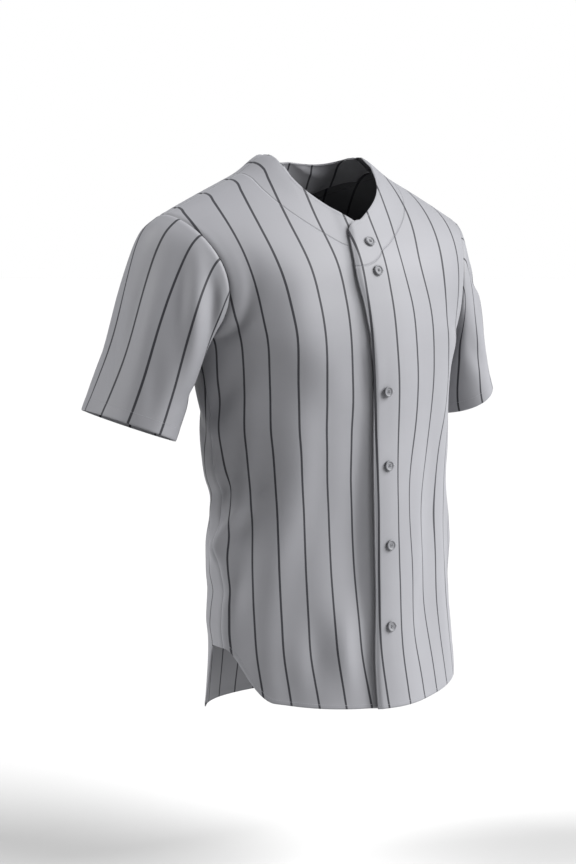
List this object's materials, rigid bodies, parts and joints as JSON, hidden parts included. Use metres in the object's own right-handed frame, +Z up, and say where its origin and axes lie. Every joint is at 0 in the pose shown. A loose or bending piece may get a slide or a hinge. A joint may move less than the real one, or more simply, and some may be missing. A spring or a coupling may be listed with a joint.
{
  "type": "baseball jersey",
  "caption": "Short-sleeved, button-front jersey with a V neck and curved shirt-tail hem, in grey pinstriped knit, filled out as if worn.",
  "frame": {"origin": "where the wearer's shoulders hold it: midway between the shoulders, 5 mm above the two points where the shoulder seams meet the neck", "axes": "+Z up, -Y out of the front, +X to the wearer's left"},
  "size_m": [0.6882, 0.31, 0.7837],
  "materials": {
    "jersey_knit": "smooth double knit with a soft sheen, dark pinstripes",
    "button": "moulded, semi-matte"
  },
  "bodies": {
    "root": {"front_left": "jersey_knit", "front_right": "jersey_knit", "back": "jersey_knit", "sleeve_left": "jersey_knit", "sleeve_right": "jersey_knit", "neck_facing": "jersey_knit", "button_1": "button", "button_2": "button", "button_3": "button", "button_4": "button", "button_5": "button", "button_6": "button"}
  },
  "joints": []
}
